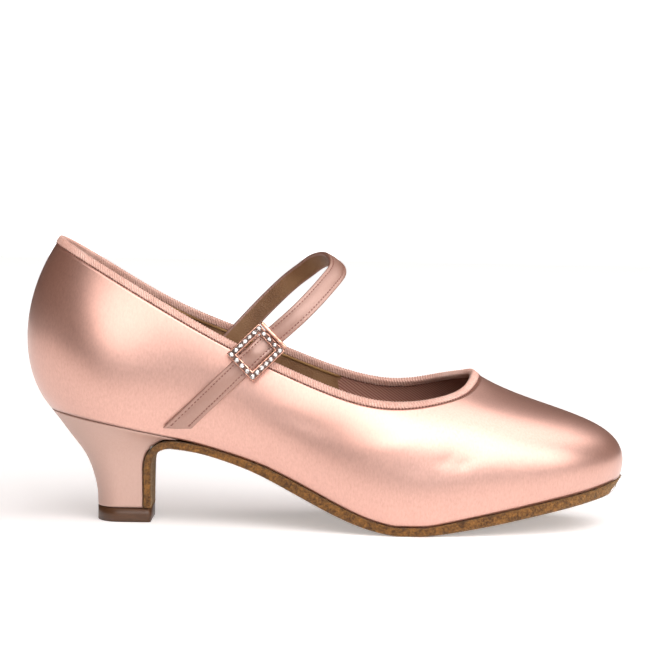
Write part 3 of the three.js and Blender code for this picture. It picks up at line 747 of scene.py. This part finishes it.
def flat_frame(length, width, window_length, window_width):
    """Flat rectangular ring round a window."""
    bm = bmesh.new()
    bmesh.ops.create_grid(bm, x_segments=1, y_segments=1, size=0.5)
    bmesh.ops.scale(bm, verts=bm.verts, vec=(length, width, 1))
    bmesh.ops.inset_region(bm, faces=bm.faces, thickness=1.0, use_even_offset=True, use_boundary=True)
    for vert in bm.verts:
        if abs(vert.co.x) < length / 2 - 0.5:
            vert.co.x = math.copysign(window_length / 2, vert.co.x)
            vert.co.y = math.copysign(window_width / 2, vert.co.y)
    window = min(bm.faces, key=lambda f: f.calc_center_median().length)
    bmesh.ops.delete(bm, geom=[window], context="FACES_ONLY")
    return bm


frame_bm = flat_frame(BUCKLE_LENGTH, BUCKLE_WIDTH, WINDOW_LENGTH, WINDOW_WIDTH)
raised = bmesh.ops.extrude_face_region(frame_bm, geom=list(frame_bm.faces))["geom"]
raised = [v for v in raised if isinstance(v, bmesh.types.BMVert)]
bmesh.ops.translate(frame_bm, verts=raised, vec=(0, 0, BUCKLE_THICKNESS))
bmesh.ops.recalc_face_normals(frame_bm, faces=frame_bm.faces)
FRAME_ROUND, BAR_ROUND = 0.32, 0.55
frame_edges = [e for e in frame_bm.edges if e.calc_face_angle(0) > 0.5]
bmesh.ops.bevel(
    frame_bm, geom=frame_edges, offset=FRAME_ROUND, segments=3, profile=0.5, affect="EDGES", material=-1
)
bmesh.ops.transform(frame_bm, matrix=POSE, verts=frame_bm.verts)
buckle_frame = finished(frame_bm, "buckle_frame_cast")

rose_metal, metal_tree, metal_shader = material("rose_metal")
metal_cloud = {"Vector": lying(metal_tree), "Scale": 700.0, "Detail": 4.0}
tarnish = node(metal_tree, "TexNoise", metal_cloud).outputs[0]
tinted(metal_tree, metal_shader, ranged(metal_tree, tarnish, 0.3, 0.62), METAL_DARK, METAL_ROSE)
metal_dull = ranged(metal_tree, tarnish, 0.3, 0.7, first=0.34, last=0.16)
join(metal_tree, metal_dull, metal_shader.inputs["Roughness"])
metal_shader.inputs["Metallic"].default_value = 1.0
buckle_frame.data.materials.append(rose_metal)
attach(buckle_frame, "root")
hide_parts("buckle_frame")

BAR_THICK, BAR_RISE, BAR_LIFT = 1.4, 2.4, 0.25
bar_bm = bmesh.new()
bmesh.ops.create_cube(bar_bm, size=1)
bmesh.ops.scale(bar_bm, verts=bar_bm.verts, vec=(BAR_THICK, BUCKLE_WIDTH - 1, BAR_RISE))
bar_place = ((BUCKLE_LENGTH + BAR_THICK) / 2 + GAP, 0, BAR_LIFT + BAR_RISE / 2)
bmesh.ops.translate(bar_bm, verts=bar_bm.verts, vec=bar_place)
bmesh.ops.bevel(
    bar_bm, geom=list(bar_bm.edges), offset=BAR_ROUND, segments=4, profile=0.5, affect="EDGES", material=-1
)
bmesh.ops.transform(bar_bm, matrix=POSE, verts=bar_bm.verts)
hook = finished(bar_bm, "buckle_hook_bar")
hook.data.materials.append(rose_metal)
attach(hook, "root")
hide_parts("buckle_hook")

# Stones: clear cut stones in one row all round the face of the frame.
# Each is pressed into a dark metal cup, and the cups stand on a dark bed let into the frame.
STONE_RADIUS, STONE_TABLE, STONE_RISE = 1.05, 0.6, 0.8
LONG_STONES, SHORT_STONES = 7, 5
STONE_TURN = 0.37
CRYSTAL_PAINTED_DARK_REFLECTION, CRYSTAL_PAINTED_GLINT = (0.12, 0.105, 0.10), (0.90, 0.88, 0.86)
CUP_DARK, CUP_BROWN = (0.03, 0.018, 0.015), (0.16, 0.08, 0.06)
long_rail = (BUCKLE_WIDTH + WINDOW_WIDTH) / 4
short_rail = (BUCKLE_LENGTH + WINDOW_LENGTH) / 4
places = []
for x in np.linspace(-short_rail, short_rail, LONG_STONES):
    places += [(x, -long_rail), (x, long_rail)]
for y in np.linspace(-long_rail, long_rail, SHORT_STONES)[1:-1]:
    places += [(-short_rail, y), (short_rail, y)]
stone_bm = bmesh.new()
cup_bm = bmesh.new()
for i, (x, y) in enumerate(places):
    turn = Matrix.Rotation(STONE_TURN * i, 4, "Z")
    seat = POSE @ Matrix.Translation((x, y, BUCKLE_THICKNESS)) @ turn
    bmesh.ops.create_cone(
        stone_bm, cap_ends=True, segments=8, radius1=STONE_RADIUS + 0.08, radius2=STONE_TABLE,
        depth=STONE_RISE - 0.2, matrix=seat @ Matrix.Translation((0, 0, STONE_RISE / 2 + 0.15)),
    )
    bmesh.ops.create_cone(
        cup_bm, cap_ends=True, segments=12, radius1=STONE_RADIUS + 0.12, radius2=STONE_RADIUS + 0.02,
        depth=0.35, matrix=seat @ Matrix.Translation((0, 0, 0.12)),
    )
stones = finished(stone_bm, "set_stones")
for polygon in stones.data.polygons:
    polygon.use_smooth = False
crystal, crystal_tree, crystal_shader = material("cut_crystal")
# Painted reflection: the clear stones are coloured in small patches from dark grey to near white, as
# painted glints of light caught in their facets.
painted_glint = node(crystal_tree, "TexVoronoi", {"Vector": lying(crystal_tree), "Scale": 1500.0})
painted_glint_tone = node(crystal_tree, "SeparateColor", {0: painted_glint.outputs["Color"]})
tinted(crystal_tree, crystal_shader, painted_glint_tone.outputs[0], CRYSTAL_PAINTED_DARK_REFLECTION, CRYSTAL_PAINTED_GLINT)
crystal_shader.inputs["Metallic"].default_value = 0.75
crystal_shader.inputs["Roughness"].default_value = 0.08
crystal_shader.inputs["Coat Weight"].default_value = 1.0
stones.data.materials.append(crystal)
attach(stones, "root")
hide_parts(*["stone_%02d" % (i + 1) for i in range(len(places))])

RIM = 0.75
BED_PROUD = 0.04
bed_bm = flat_frame(BUCKLE_LENGTH - RIM, BUCKLE_WIDTH - RIM, WINDOW_LENGTH + RIM, WINDOW_WIDTH + RIM)
bmesh.ops.translate(bed_bm, verts=bed_bm.verts, vec=(0, 0, BUCKLE_THICKNESS + BED_PROUD))
bmesh.ops.transform(bed_bm, matrix=POSE, verts=bed_bm.verts)
bed_mesh = bpy.data.meshes.new("stone_bed")
bed_bm.to_mesh(bed_mesh)
bed_bm.free()
cup_bm.from_mesh(bed_mesh)
bpy.data.meshes.remove(bed_mesh)
cups = finished(cup_bm, "stone_cups")
cup_stuff, cup_tree, cup_shader = material("dark_cups")
cup_noise = node(cup_tree, "TexNoise", {"Vector": lying(cup_tree), "Scale": 900.0})
tinted(cup_tree, cup_shader, cup_noise.outputs[0], CUP_DARK, CUP_BROWN)
cup_shader.inputs["Metallic"].default_value = 0.8
cup_shader.inputs["Roughness"].default_value = 0.35
cups.data.materials.append(cup_stuff)
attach(cups, "root")

# Strap: the same folded band, carried on from the buckle over the instep and down inside the inner wall.
# Satin outside with a row of stitches along each edge, brown leather inside.
STRAP_PATH = [
    (112, -26, 87), (122.4, -18, 98.2), (126.3, -10, 103.6), (124.4, 0, 107.6), (118.4, 10, 106.4),
    (112.8, 16.5, 102.2), (106.6, 20.2, 97.2), (98.1, 22.2, 88.9), (90.6, 22.1, 80.9), (84.6, 21.8, 74.4),
    (78.6, 22.2, 67.9),
]
STRAP_LOW, STRAP_HIGH, STRAP_SPAN = 70.0, 107.0, 26.0
STRAP_FORWARD, STRAP_UPWARD, STRAP_LEAN = 0.75, 0.85, 0.25
FOLD_SHOWN = 0.9
strap_start = one(TAB_LENGTH, 0.0, STRAP_THICKNESS / 2) + buckle_along * GAP
knots = [strap_start, *np.array(STRAP_PATH, float)]
knots = np.array([2 * knots[0] - knots[1], *knots, 2 * knots[-1] - knots[-2]])
line = []
for i in range(1, len(knots) - 2):
    p = knots[i - 1 : i + 3]
    k = np.concatenate([[0], np.cumsum(np.sqrt(np.linalg.norm(np.diff(p, axis=0), axis=1)))])
    for s in np.linspace(k[1], k[2], 40, endpoint=i == len(knots) - 3):
        legs = [p[j] + (p[j + 1] - p[j]) * (s - k[j]) / (k[j + 1] - k[j]) for j in range(3)]
        arcs = [legs[j] + (legs[j + 1] - legs[j]) * (s - k[j]) / (k[j + 2] - k[j]) for j in range(2)]
        line.append(arcs[0] + (arcs[1] - arcs[0]) * (s - k[1]) / (k[2] - k[1]))
line = np.array(line)
line_run = np.concatenate([[0], np.cumsum(np.linalg.norm(np.diff(line, axis=0), axis=1))])
STRAP_RUN = line_run[-1]


def strap_place(along, side, height):
    """Point of the strap, and the way it runs and faces there."""
    def spot_at(run):
        return np.stack([np.interp(run, line_run, line[:, c]) for c in range(3)], -1)

    spot = spot_at(along)
    ahead = unit(spot_at(np.minimum(along + 0.6, STRAP_RUN)) - spot_at(np.maximum(along - 0.6, 0)))
    over = ease(spot[:, 2], STRAP_LOW, STRAP_HIGH) ** 2
    face = np.stack([STRAP_FORWARD * over, spot[:, 1] / STRAP_SPAN, STRAP_LEAN + STRAP_UPWARD * over], -1)
    face = unit(face - ahead * np.sum(face * ahead, -1, keepdims=True))
    aside = np.cross(ahead, face)
    return spot + aside * side[:, None] + face * height[:, None], ahead, face


def strap_band(a, b):
    side, high = band_section(b)
    return strap_place(a * STRAP_RUN, side, high)[0]


strap_bm = bent_sheet(160, 56, strap_band)
close_ends(strap_bm)
strap = finished(strap_bm, "strap_satin_band")
strap.data.materials.append(strap_cloth)
strap.data.materials.append(leather("strap_lining", QUARTER_DARK, QUARTER_PALE, roughness=0.5))
centres = np.array([p.center for p in strap.data.polygons]) / MM - STAND
nearest = np.argmin(np.linalg.norm(centres[:, None, :] - line[None, ::4, :], axis=2), axis=1) * 4
nothing = np.zeros(len(nearest))
strap_spots, strap_ways, strap_faces = strap_place(line_run[nearest], nothing, nothing)
aside = np.abs(np.sum((centres - strap_spots) * np.cross(strap_ways, strap_faces), -1))
for polygon, away, off in zip(strap.data.polygons, strap_faces, aside):
    if polygon.normal.dot(Vector(away)) < -0.4 and off < STRAP_WIDTH / 2 - FOLD_SHOWN:
        polygon.material_index = 1
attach(strap, "root")
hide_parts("strap")

strap_sewing = bmesh.new()
strap_along = np.arange(0.8, STRAP_RUN - 0.5, SEAM_PITCH)
for side in (-seam_side, seam_side):
    here, ahead, face = strap_place(
        strap_along, np.full_like(strap_along, side), np.full_like(strap_along, STRAP_THICKNESS * 0.4)
    )
    sew(strap_sewing, here, ahead, face, STITCH_LONG, STITCH_THICK)
strap_seam = finished(strap_sewing, "strap_seam")
strap_seam.data.materials.append(dark_thread)
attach(strap_seam, "root")

# Studio: a round white floor with a white wall far round it, and two broad soft lights above the camera.
# A low dark card in front shows only in the gloss, so the satin has a dark band between light and floor.
ROOM = 4.0
CARD_LONG, CARD_TALL, CARD_PLACE = 1.6, 0.13, (-0.1, -0.4, 0.066)
PAPER_WHITE, CARD_DARK = (0.93, 0.93, 0.93), (0.05, 0.035, 0.03)
LAMP_TINT = (1.0, 0.955, 0.945)
SHOE_MIDDLE = Vector((0.0, 0.0, 0.06))
ROOM_TINT, ROOM_GLOW = (1.0, 0.62, 0.48, 1), 0.08
floor_bm = bmesh.new()
bmesh.ops.create_circle(floor_bm, cap_ends=True, segments=96, radius=ROOM)
floor = finished(floor_bm, "studio_floor")
wall_bm = bmesh.new()
bmesh.ops.create_cone(wall_bm, segments=96, radius1=ROOM, radius2=ROOM, depth=ROOM)
bmesh.ops.translate(wall_bm, verts=wall_bm.verts, vec=(0, 0, ROOM / 2))
studio_wall = finished(wall_bm, "studio_wall")
studio_wall.visible_glossy = studio_wall.visible_diffuse = studio_wall.visible_shadow = False
card_bm = bmesh.new()
bmesh.ops.create_grid(card_bm, x_segments=1, y_segments=1, size=0.5)
bmesh.ops.scale(card_bm, verts=card_bm.verts, vec=(CARD_LONG, CARD_TALL, 1))
bmesh.ops.rotate(card_bm, verts=card_bm.verts, matrix=Matrix.Rotation(math.pi / 2, 3, "X"))
bmesh.ops.translate(card_bm, verts=card_bm.verts, vec=CARD_PLACE)
card = finished(card_bm, "dark_card")
card.visible_camera = card.visible_diffuse = card.visible_shadow = False


def paper(name, pale, near, far):
    """Matt paper that glows with painted light of its own: the glow is near close to the shoe and far away
    from it.
    """
    made, tree, shader = material(name)
    spot = lying(tree)
    fibre = node(tree, "TexNoise", {"Vector": spot, "Scale": 300.0, "Detail": 2.0})
    tinted(tree, shader, fibre.outputs[0], tuple(0.96 * c for c in pale), pale)
    away = node(tree, "VectorMath", {0: spot}, operation="LENGTH")
    painted_glow = ranged(tree, away.outputs["Value"], 0.25, 1.2, near, far)
    painted_glow_colour = node(tree, "CombineColor", {0: painted_glow, 1: painted_glow, 2: painted_glow})
    join(tree, painted_glow_colour.outputs[0], shader.inputs["Emission Color"])
    shader.inputs["Roughness"].default_value = 0.9
    shader.inputs["Emission Strength"].default_value = 1.0
    return made


# The floor glows as painted light: faintly close to the shoe and almost white far off. The wall glows
# evenly.
floor.data.materials.append(paper("floor_paper", PAPER_WHITE, near=0.36, far=0.92))
studio_wall.data.materials.append(paper("wall_paper", PAPER_WHITE, near=1.0, far=1.0))
card.data.materials.append(paper("card_paper", CARD_DARK, near=0.0, far=0.0))


def soft_light(name, place, size, power):
    lamp = bpy.data.lights.new(name, "AREA")
    lamp.shape = "RECTANGLE"
    lamp.size, lamp.size_y = size
    lamp.energy = power
    lamp.color = LAMP_TINT
    made = bpy.data.objects.new(name, lamp)
    bpy.context.scene.collection.objects.link(made)
    made.location = place
    made.rotation_euler = (SHOE_MIDDLE - Vector(place)).to_track_quat("-Z", "Y").to_euler()
    return made


front_box = soft_light("front_soft_box", (0.55, -1.25, 0.84), size=(2.6, 0.95), power=28.35)
high_box = soft_light("high_soft_box", (0.5, -0.38, 1.4), size=(2.6, 1.1), power=22.95)
world = bpy.data.worlds.new("studio")
world.use_nodes = True
sky = world.node_tree.nodes["Background"]
sky.inputs["Color"].default_value = ROOM_TINT
sky.inputs["Strength"].default_value = ROOM_GLOW
bpy.context.scene.world = world
bpy.context.scene.view_settings.view_transform = "Standard"

# Camera: in front of the outer side of the shoe, a little above it, looking slightly down.
# It is a touch rolled, and its long lens keeps the shoe close to a plain side view.
CAMERA_PLACE = (-0.0012, -0.849645, 0.130)
LENS, SENSOR = 115.331, 36.0
PITCH = math.radians(3.3419)
ROLL = math.radians(0.9)
ahead = Vector((0, math.cos(PITCH), -math.sin(PITCH)))
level = Vector((1, 0, 0))
upright = Vector((0, math.sin(PITCH), math.cos(PITCH)))
right = math.cos(ROLL) * level + math.sin(ROLL) * upright
above = -math.sin(ROLL) * level + math.cos(ROLL) * upright
lens = bpy.data.cameras.new("camera")
lens.lens = LENS
lens.sensor_width = SENSOR
camera = bpy.data.objects.new("camera", lens)
bpy.context.scene.collection.objects.link(camera)
camera_turn = Matrix((right, above, -ahead)).transposed().to_4x4()
camera.matrix_world = Matrix.Translation(CAMERA_PLACE) @ camera_turn
bpy.context.scene.camera = camera
